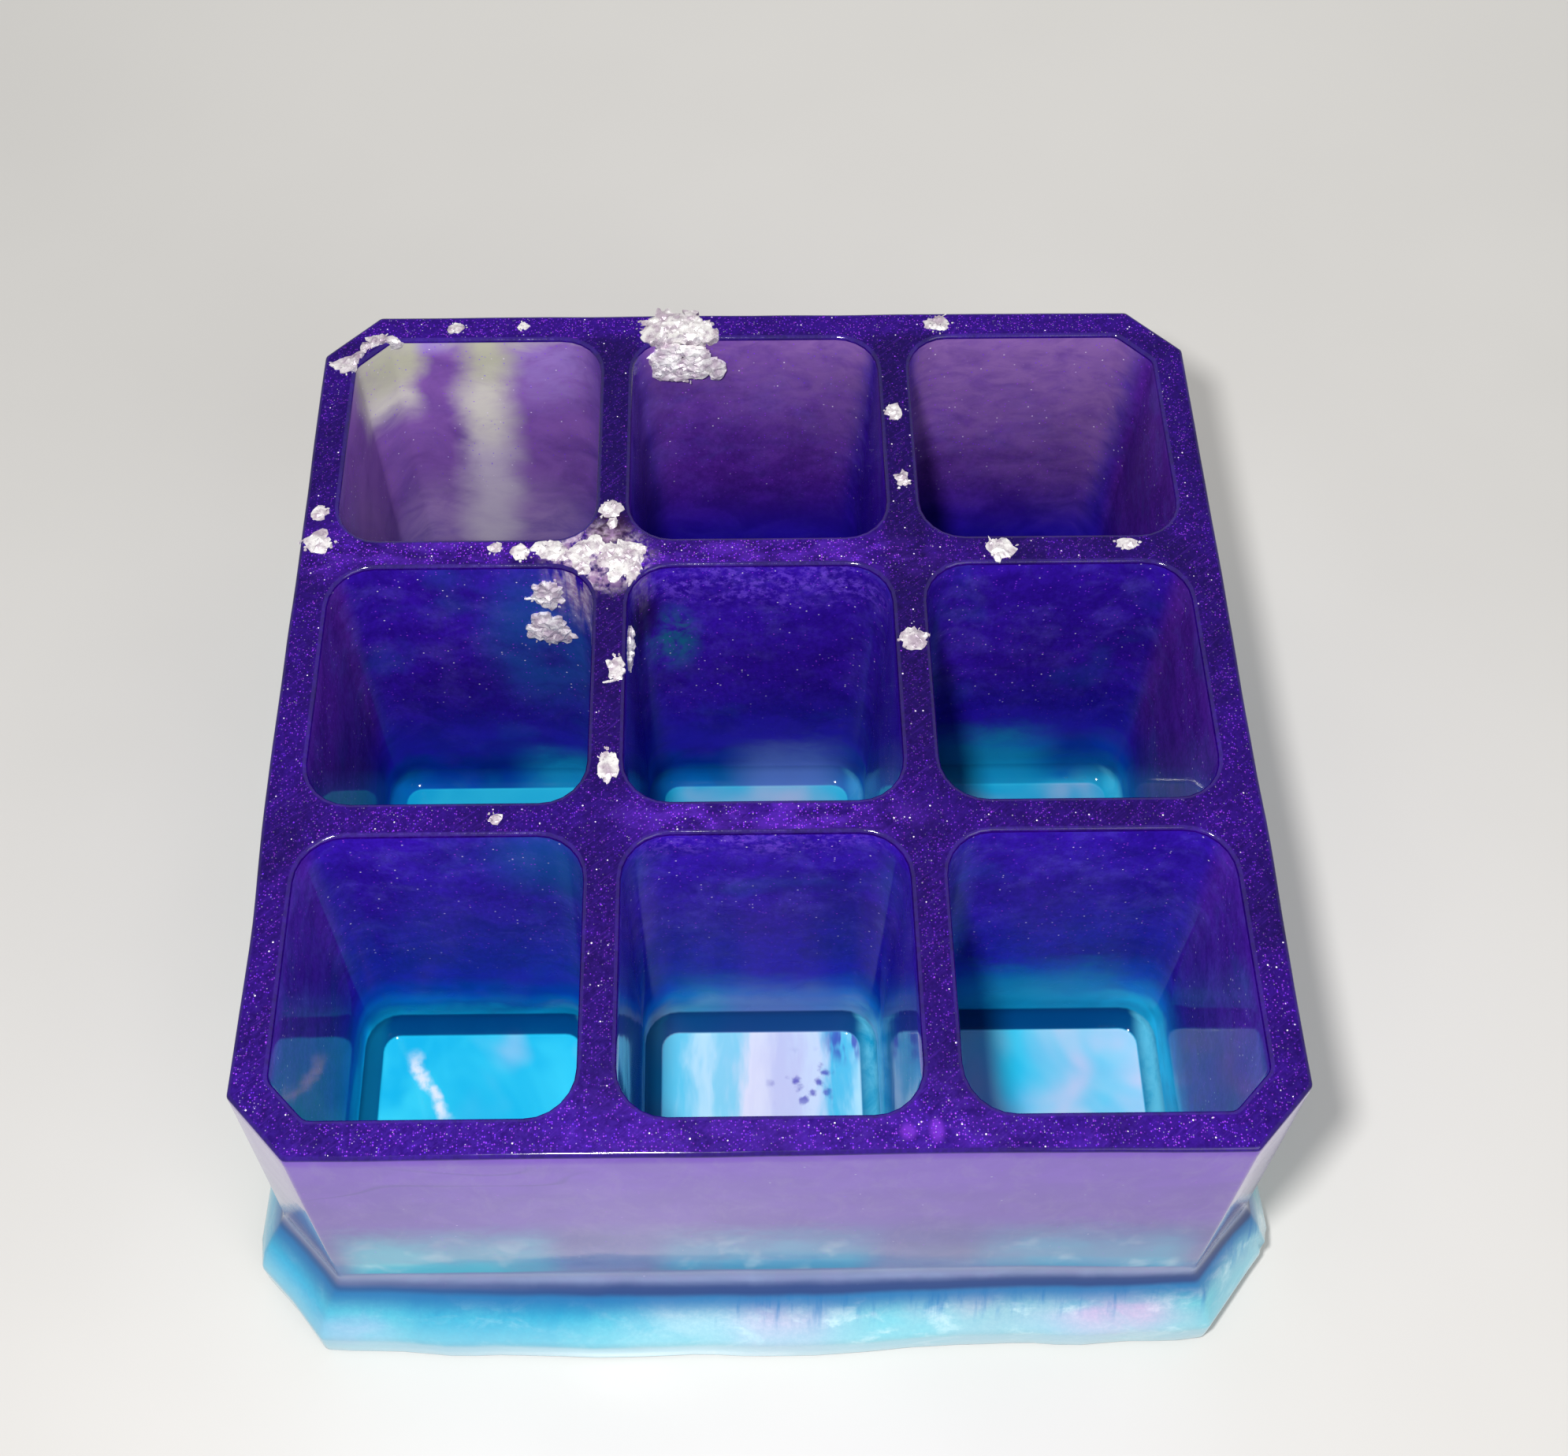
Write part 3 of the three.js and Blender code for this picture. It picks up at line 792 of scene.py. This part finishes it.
def pocket_resin():
    """The pockets: glossy, coloured by depth, with a rim-coloured mouth."""
    g = Resin("cast pocket resin")
    base = pocket_walls(g)
    floor = g.fall(g.z, FLOOR_Z + 0.03, FLOOR_Z + 0.12)
    base = floor_slope(g, g.mix(floor, base, pocket_floor(g)))
    mica, tone = g.glitter(0.34, 0.16, 0.36, 0.88)
    base = g.mix(g.both(mica, g.step(g.z, 12, 26, (0.0, 0.75))), base, tone)
    # the rounded mouth belongs to the rim
    mouth = g.step(g.z, 45.45, 45.75)
    base = g.mix(mouth, base, g.shade(1.0, g.rim_base()[0], (1.3, 1.3, 1.3)))
    back_wall = g.both(g.step(g.facing_y, 0.5, 0.9), g.step(g.z, 3.2, 3.5))
    polish = g.add(g.step(g.wisp, 0.3, 0.8, (0.05, 0.09)), g.both(back_wall, 0.2))
    return g.surface(Base_Color=base, Roughness=g.blendf(mouth, polish, 0.22), Specular_IOR_Level=0.035,
                     Normal=g.bump(g.noise(9, 2, 0.5, shift=9.9), 0.05), IOR=1.5)


def outer_wall(g):
    """Lilac-violet face with the pockets glowing through low down."""
    wall = g.ramp(g.math("DIVIDE", g.z, TOP_Z), (
        (0.29, (0.19, 0.25, 0.46)), (0.385, (0.115, 0.125, 0.37)), (0.50, (0.08, 0.062, 0.34)),
        (0.66, (0.13, 0.048, 0.42)), (0.96, (0.145, 0.042, 0.48))))
    wall = g.shade(g.step(g.cloud, 0.66, 0.35, (0.0, 0.35)), wall, (0.6, 0.6, 0.7))
    mottle = g.noise((3, 3, 5), 5, 0.65, 0.8, shift=14.0)
    wall = g.mix(g.step(mottle, 0.42, 0.75, (0.0, 0.25)), wall, MOTTLE)

    def behind_pockets(along):
        """1 along the runs of wall that have a pocket behind them."""
        wrapped = g.math("WRAP", g.add(along, PITCH / 2), PITCH, 0.0)
        return g.both(g.band(wrapped, PITCH / 2, 7.6, 12.2), g.band(along, 0.0, 40, 43))

    glow = g.most(g.both(g.step(g.ay, 46.5, 47.0), behind_pockets(g.x)),
                  g.both(g.step(g.ax, 46.5, 47.0), behind_pockets(g.y)))
    level = g.add(g.z, g.swing(g.wisp, 6))
    strength = g.add(g.step(level, 19, 29, (0.8, 0.0)), g.both(g.fall(g.z, 16.4, 17.6), 0.25))
    front = g.step(g.y, -46.5, -44.5, (1.0, 0.42))
    glow = g.both(glow, g.step(g.z, 13.8, 14.4), strength, front, g.step(g.broad, 0.32, 0.62, (0.5, 1.0)))
    lit = g.mix(g.step(g.x, -18, -8), GLOW_LEFT, GLOW_RIGHT)
    wisps = g.step(g.noise((3.5, 9, 5), 2, 0.5, 0.3, shift=27.0), 0.52, 0.78, (0.0, 0.55))
    wall = g.mix(glow, wall, g.mix(wisps, lit, GLOW_WISP))
    # a few long curved marks and tiny bubbles in the cast face
    contour = g.band(g.noise((26, 26, 12), 1, 0.5, 0.3, shift=30.0), 0.5, 0.0, 0.012)
    mark = g.both(contour, g.near((-27, -47.5, 36), 5, 5, (0.5, 1, 1)))
    wall = g.shade(g.both(mark, 0.6), wall, (0.5, 0.55, 0.65))
    bubble, _ = g.glitter(1.5, 0.12, 0.10)
    wall = g.mix(g.both(bubble, 0.5), wall, BUBBLE)
    wall = g.clear_patch(wall, 0.45)
    cut_corner = g.both(g.step(g.facing_x, 0.45, 0.6), g.step(g.facing_y, 0.45, 0.6),
                        g.step(g.z, 13.5, 17))
    pale_corner = g.both(cut_corner, g.step(g.y, -44, -38, (0.32, 0.12)),
                         g.step(g.cloud, 0.3, 0.6, (0.6, 1.0)))
    wall = g.mix(pale_corner, wall, CORNER_PALE)
    return wall


def foot(g):
    """Teal with milky pearl, lilac and pink clouds along the front."""
    paler = g.step(g.add(g.broad, g.step(g.x, -40, 0, (0.0, 0.12))), 0.35, 0.75)
    tone = g.mix(paler, FOOT_TEAL, FOOT_CYAN)
    tone = g.shade(1.0, g.pearl(tone, 0.9), (0.86, 0.84, 0.83))
    frayed = g.step(g.cloud, 0.25, 0.6, (0.3, 1.0))
    for x, colour in ((-8, (0.46, 0.68, 0.78)), (2.5, (0.62, 0.50, 0.74)),
                      (13, (0.20, 0.62, 0.78)), (32, (0.62, 0.54, 0.78))):
        tone = g.mix(g.both(g.near((x, -51, 6), 2, 7, (1, 0.6, 1)), frayed, 0.7), tone, colour)
    milky = g.both(g.step(g.noise((4, 4, 2.5), 4, 0.6, 0.6, shift=28.0), 0.5, 0.7),
                   g.step(g.x, -20, 10, (0.15, 0.75)))
    tone = g.mix(milky, g.shade(g.step(g.x, -5, 8), tone, (0.72, 0.96, 0.93)), FOOT_MILK)
    tone = g.mix(g.both(g.near((35.5, -51, 6.5), 1, 4, (0.6, 1, 1)), frayed, 0.7), tone, FOOT_PINK)
    drips = g.both(g.step(g.noise((1.1, 7, 7), 3, 0.6, 0.2, shift=29.0), 0.48, 0.70),
                   g.step(g.z, 5.0, 10.0), g.step(g.x, -14, -4, (0.2, 0.8)))
    tone = g.mix(drips, tone, FOOT_DRIP)
    tone = g.mix(g.both(g.near((50, -50, 6), 3, 4), frayed, 0.75), tone, FOOT_RIGHT)
    tone = g.mix(g.both(g.near((-50, -49, 6), 3, 5), 0.6), tone, FOOT_LEFT)
    tone = g.mix(g.both(g.near((-41, -51, 5), 1, 3, (0.7, 1, 1)), frayed, 0.5), tone, FOOT_LILAC)
    grain = g.step(g.noise(0.5, 3, 0.7, shift=18.0), 0.62, 0.4, (0.0, 0.35))
    tone = g.shade(grain, tone, (0.6, 0.78, 0.88))
    edge = g.most(g.step(g.z, 3.2, 4.6, (0.5, 0.0)), g.step(g.add(g.ax, g.ay), 93, 97, (0.0, 0.12)))
    tone = g.mix(edge, tone, FOOT_RIM)
    return tone


def outside_resin():
    """The outside: lilac-violet walls over the teal and pearl foot."""
    g = Resin("cast outer resin")
    wall, tone = outer_wall(g), foot(g)
    # painted shade: the wall meets the foot in a soft dark line that sags a little towards the middle of
    # a side
    run = g.both(g.math("MINIMUM", g.ax, g.ay), 1 / 42)
    sag = g.math("MULTIPLY_ADD", g.both(run, run), -0.7, 0.7)
    low = g.add(g.z, sag, g.swing(g.cloud, 0.5))
    tone = g.mix(g.step(g.z, 8.5, 4.6, (0.0, 0.4)), tone, FOOT_LOW)
    tone = g.mix(g.step(low, 7.8, 10.8, (0.0, 0.95)), tone, FOOT_SHADE)
    base = g.mix(g.step(low, 11.2, 11.9), tone, wall)
    seam_shade = g.both(g.step(low, 10.6, 11.3), g.fall(low, 11.7, 13.0), g.step(g.x, -46, -10, (0.6, 0.95)))
    base = g.mix(seam_shade, base, SEAM_SHADE)
    mica, tone = g.glitter(0.45, 0.05, 0.3)
    base = g.mix(g.both(mica, g.step(g.z, 12, 20, (0.0, 0.4))), base, tone)
    # the rounded top edge belongs to the rim
    base = g.mix(g.step(g.z, 45.5, 45.75), base, g.rim_base()[0])
    waver = g.noise(9, 2, 0.5, shift=9.9)
    nicks = g.noise((0.25, 4, 0.25), 2, 0.6, turn=math.radians(75), shift=2.6)
    return g.surface(Base_Color=base, Roughness=g.step(g.wisp, 0.3, 0.8, (0.06, 0.13)), IOR=1.5,
                     Specular_IOR_Level=0.42,
                     Normal=g.bump(g.step(nicks, 0.68, 0.8), 0.004, 1.0, g.bump(waver, 0.06)))


# ---- silver leaf ----
def silver_leaf(name, metallic):
    g = Graph(name)
    wrinkle = g.noise(0.5, 4, 0.6, 1.5)
    tarnish = g.noise(1.3, 3, 0.6, shift=2.2)
    tone = g.mix(g.step(tarnish, 0.36, 0.64), (0.92, 0.90, 0.90), (0.50, 0.41, 0.50))
    tone = g.mix(g.step(wrinkle, 0.42, 0.28), tone, (0.10, 0.06, 0.14))
    return g.surface(Base_Color=tone, Metallic=metallic,
                     Roughness=g.step(wrinkle, 0.3, 0.7, (0.14, 0.40)), Normal=g.bump(wrinkle, 0.06, 0.8))


# Foil spilling past a CAD flake's outline: (x, y offset from its centre, half width, half height).
SPILLS = {
    "leaf_back_rim_large": (
        (-2.6, -1.6, 1.5, 1.3), (-0.6, -2.2, 1.7, 1.5), (1.7, -2.3, 1.6, 1.4),
        (3.4, -1.4, 1.2, 1.6), (-1.2, 1.3, 1.0, 0.9), (1.6, 1.4, 1.1, 0.8)),
    "leaf_back_middle_pocket_rear": (
        (-3.4, 1.2, 1.5, 1.4), (3.7, 0.6, 1.6, 1.3), (-1.0, 2.4, 1.8, 1.2),
        (1.8, 2.3, 1.8, 1.2), (4.4, -1.2, 0.9, 1.2), (-3.9, -1.0, 0.9, 1.3)),
    "leaf_junction_large": (
        (-1.6, 0.9, 1.1, 0.8), (1.0, -1.7, 0.7, 1.9), (-0.9, -2.2, 1.0, 1.0),
        (-2.9, 1.9, 0.9, 0.7)),
    "leaf_rear_cross_wall_inner": ((0.9, 0.5, 1.3, 1.1), (0.4, -1.4, 0.9, 1.2)),
    "leaf_rear_cross_wall_middle": ((-0.8, 0.3, 1.2, 0.9), (1.3, -0.4, 0.9, 0.8)),
    "leaf_left_divider_rear": ((0.2, -1.8, 0.6, 0.8),),
    "leaf_left_pocket_rear": ((1.9, -1.2, 1.4, 1.4), (-0.7, 2.3, 1.2, 1.0)),
    "leaf_back_left_corner_inner": ((1.4, -0.6, 1.0, 0.7), (-1.4, -0.9, 0.9, 0.8)),
    "leaf_back_left_corner_outer": ((1.5, 0.9, 1.0, 0.9),),
}

LEAF_PROUD = 0.05               # least height of foil over the resin
LEAF_ROOT = 0.30                # how deep a scrap's closed underside lies in the resin
LEAF_SEED = 100


def torn_ring(rng, half_u, half_v, count):
    """Ragged outline about the origin, in mm."""
    phase = rng.uniform(0, 50)
    ring = []
    for k in range(count):
        a = 2 * math.pi * k / count
        wave = noise.noise(Vector((math.cos(a) * 1.6, math.sin(a) * 1.6, phase)))
        tear = 1.0 + 0.45 * wave + rng.uniform(-0.2, 0.12)
        ring.append(Vector((math.cos(a) * half_u * tear, math.sin(a) * half_v * tear)))
    return ring


def add_leaf_scrap(bm, rng, place, ring, spacing, lift):
    """A crumpled scrap of foil: flat facets at random heights in its outline, closed underneath."""
    points = list(ring)
    span_u = max(abs(p.x) for p in ring)
    span_v = max(abs(p.y) for p in ring)
    for _ in range(int(4 * span_u * span_v / spacing ** 2)):
        p = Vector((rng.uniform(-span_u, span_u), rng.uniform(-span_v, span_v)))
        if inside(p, ring) and all((p - q).length > spacing * 0.6 for q in points):
            points.append(p)
    n = len(ring)
    edges = [(i, (i + 1) % n) for i in range(n)]
    flat, _, tris, *_ = delaunay_2d_cdt(points, edges, [], EVERY_TRIANGLE, 1e-6)
    top = []
    for i, p in enumerate(flat):
        rise = lift * rng.random() ** 1.3 if i >= n else lift * 0.2 * rng.random()
        top.append(bm.verts.new(place(p, LEAF_PROUD + rise)))
    bottom = [bm.verts.new(place(p, -LEAF_ROOT)) for p in flat]
    used = {}
    for tri in tris:
        mid = sum((flat[i] for i in tri), Vector((0, 0))) / 3
        if not inside(mid, ring):
            continue
        a, b, c = tri
        if (flat[b] - flat[a]).cross(flat[c] - flat[a]) < 0:
            b, c = c, b
        bm.faces.new((top[a], top[b], top[c]))
        bm.faces.new((bottom[c], bottom[b], bottom[a]))
        for e in ((a, b), (b, c), (c, a)):
            used[e] = True
    for a, b in used:
        if (b, a) not in used:
            bm.faces.new((top[b], top[a], bottom[a], bottom[b]))


def drape(x, y, height):
    """Point `height` over the rim at (x, y); past a pocket's lip it goes down the wall instead."""
    col, row = (max(-1, min(1, round(c / PITCH))) for c in (x, y))
    away = Vector((x - col * PITCH, y - row * PITCH))
    core = POCKET / 2 - POCKET_R
    q = Vector((abs(away.x) - core, abs(away.y) - core))
    if q.x > 0 and q.y > 0:
        depth, outward = POCKET_R - q.length, q.normalized()
    elif q.x > q.y:
        depth, outward = POCKET_R - q.x, Vector((1, 0))
    else:
        depth, outward = POCKET_R - q.y, Vector((0, 1))
    if depth <= 0:
        return Vector((x, y, TOP_Z + height))
    outward = Vector((math.copysign(outward.x, away.x), math.copysign(outward.y, away.y)))
    onto = outward * (depth - DRAFT * depth / (TOP_Z - FLOOR_Z))
    turn = min(1.0, depth / 0.5)
    inward = outward * height * turn
    return Vector((x + onto.x - inward.x, y + onto.y - inward.y, TOP_Z - depth + height * (1 - turn)))


def leaf(node, material, seed):
    """Replaces one CAD flake by a cluster of crumpled scraps in the same place."""
    low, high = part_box(node)
    centre, size = (low + high) / 2 / MM, (high - low) / MM
    thin = min(range(3), key=lambda i: size[i])
    half_u, half_v = (size[i] / 2 for i in range(3) if i != thin)
    if thin == 2:
        def place(p, h):
            return drape(centre.x + p.x, centre.y + p.y, h) * MM
    elif thin == 1:
        def place(p, h):
            return Vector((centre.x + p.x, low.y / MM - h, centre.z + p.y)) * MM
    else:
        def place(p, h):
            return Vector((high.x / MM + h, centre.y - p.x, centre.z + p.y)) * MM
    rng = random.Random(seed)
    bm = bmesh.new()

    def scrap(du, dv, ru, rv, turn, spacing, lift):
        """A scrap `ru` by `rv` about (du, dv), of points `spacing` apart raised up to `lift`."""
        spin, shift = Matrix.Rotation(turn, 2), Vector((du, dv))
        ring = [spin @ p for p in torn_ring(rng, ru, rv, max(9, min(34, int(15 * max(ru, rv)))))]
        add_leaf_scrap(bm, rng, lambda p, h: place(p + shift, h), ring, spacing, lift)

    reach = max(half_u, half_v)
    scrap(0, 0, half_u * 1.15, half_v * 1.15, 0, spacing=0.42, lift=min(0.5, 0.25 + reach * 0.08))
    for _ in range(int(1 + reach * 1.6)):      # torn layers lying over the main scrap
        scrap(rng.uniform(-0.75, 0.75) * half_u, rng.uniform(-0.75, 0.75) * half_v,
              half_u * rng.uniform(0.35, 0.7), half_v * rng.uniform(0.35, 0.7),
              rng.uniform(0, 3), spacing=0.40, lift=0.55)
    for _ in range(int(reach * 0.9)):          # thin strands
        scrap(rng.uniform(-1.0, 1.0) * half_u, rng.uniform(-1.0, 1.0) * half_v,
              rng.uniform(0.5, 0.9) * min(reach, 1.6), rng.uniform(0.08, 0.18),
              rng.uniform(0, 3.1), spacing=0.16, lift=0.22)
    for _ in range(int(2 + reach * 2.5)):      # crumbs
        a = rng.uniform(0, 2 * math.pi)
        away = rng.uniform(0.95, 1.45)
        bit = rng.uniform(0.10, 0.24) * (0.7 + reach * 0.15)
        scrap(math.cos(a) * half_u * away, math.sin(a) * half_v * away, bit, bit * rng.uniform(0.4, 1.0),
              a, spacing=0.15, lift=0.15)
    for du, dv, ru, rv in SPILLS.get(node, ()):
        scrap(du, dv, ru, rv, rng.uniform(-0.4, 0.4), spacing=0.42, lift=0.5)
    add_piece(bm, node + "_foil", [material], node)


# ---- build ----
zones = [rim_resin(), pocket_resin(), outside_resin(), lip_resin()]
pour("violet_mica_grid", BLUE_TOP, TOP_Z, zones, "violet_mica_grid_pour")
pour("indigo_blue_band", TEAL_TOP, BLUE_TOP, zones, "indigo_blue_band_pour")
pour("teal_pearl_base", 0.0, TEAL_TOP, zones, "teal_pearl_base_pour")

rim_foil = silver_leaf("silver leaf", 0.5)
wall_foil = silver_leaf("silver leaf under resin", 0.15)
for index, leaf_node in enumerate(sorted(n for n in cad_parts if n.startswith("leaf_"))):
    leaf(leaf_node, wall_foil if "_pocket_" in leaf_node else rim_foil, LEAF_SEED + index)


# ---- stage, light, camera ----
# Places and sizes from here on are metres, powers are watts, turns are degrees about X, Y and Z.
TABLE_HALF = 1.6
LAMPS = (   # name, place, aim, diameter, power, colour
    ("key", (-0.025, -0.096, 0.236), (0, 0, 0.02), 0.018, 0.55, (1.0, 0.99, 0.975)),
    ("soft fill", (0.55, -0.75, 0.8), (0, 0, 0), 0.8, 3.2, (1.0, 0.99, 0.97)))
STUDIO_COLOUR, STUDIO_STRENGTH = (0.96, 0.955, 0.93, 1), 0.56
CAMERA_PLACE = (-0.00384, -0.10568, 0.22196)
CAMERA_TURN = (35.805, -0.07, -0.64)
LENS_MM, SENSOR_MM = 47.43, 36
LENS_SHIFT = (0.030, -0.143)


def table():
    bm = bmesh.new()
    bmesh.ops.create_grid(bm, x_segments=40, y_segments=40, size=TABLE_HALF)
    g = Graph("white gloss table")
    tone = g.mix(g.step(g.noise(60, 3, 0.5), 0.3, 0.7), (0.600, 0.590, 0.575), (0.625, 0.615, 0.600))
    x, y, _ = g.split(g.vector("MULTIPLY", g.position, (1 / MM,) * 3))
    # painted light: paler towards the back and towards the right
    tone = g.mix(g.step(y, 10, 380), tone, (0.97, 0.955, 0.93))
    across = g.mix(g.step(x, -160, 160), (0.96, 0.96, 0.96), (1.04, 1.04, 1.04))
    tone = g.mix(1.0, tone, across, "MULTIPLY")
    g.surface(Base_Color=tone, Roughness=g.step(g.noise(25, 3, 0.5), 0.3, 0.7, (0.30, 0.36)))
    top = mesh_object(bm, "table", [g.material])


def area_light(name, place, aim, diameter, power, colour):
    data = bpy.data.lights.new(name, "AREA")
    data.shape = "DISK"
    data.size = diameter
    data.energy = power
    data.color = colour
    lamp = add_object(name, data)
    lamp.location = place
    lamp.rotation_euler = (Vector(aim) - Vector(place)).to_track_quat("-Z", "Y").to_euler()


table()
for lamp_values in LAMPS:
    area_light(*lamp_values)

world = bpy.data.worlds.new("studio")
bpy.context.scene.world = world
world.use_nodes = True
background = world.node_tree.nodes["Background"]
background.inputs["Color"].default_value = STUDIO_COLOUR
background.inputs["Strength"].default_value = STUDIO_STRENGTH

camera_data = bpy.data.cameras.new("camera")
camera_data.lens = LENS_MM
camera_data.sensor_width = SENSOR_MM
camera_data.shift_x, camera_data.shift_y = LENS_SHIFT
camera = add_object("camera", camera_data)
camera.location = CAMERA_PLACE
camera.rotation_euler = [math.radians(turn) for turn in CAMERA_TURN]
bpy.context.scene.camera = camera
bpy.context.scene.view_settings.view_transform = "Standard"
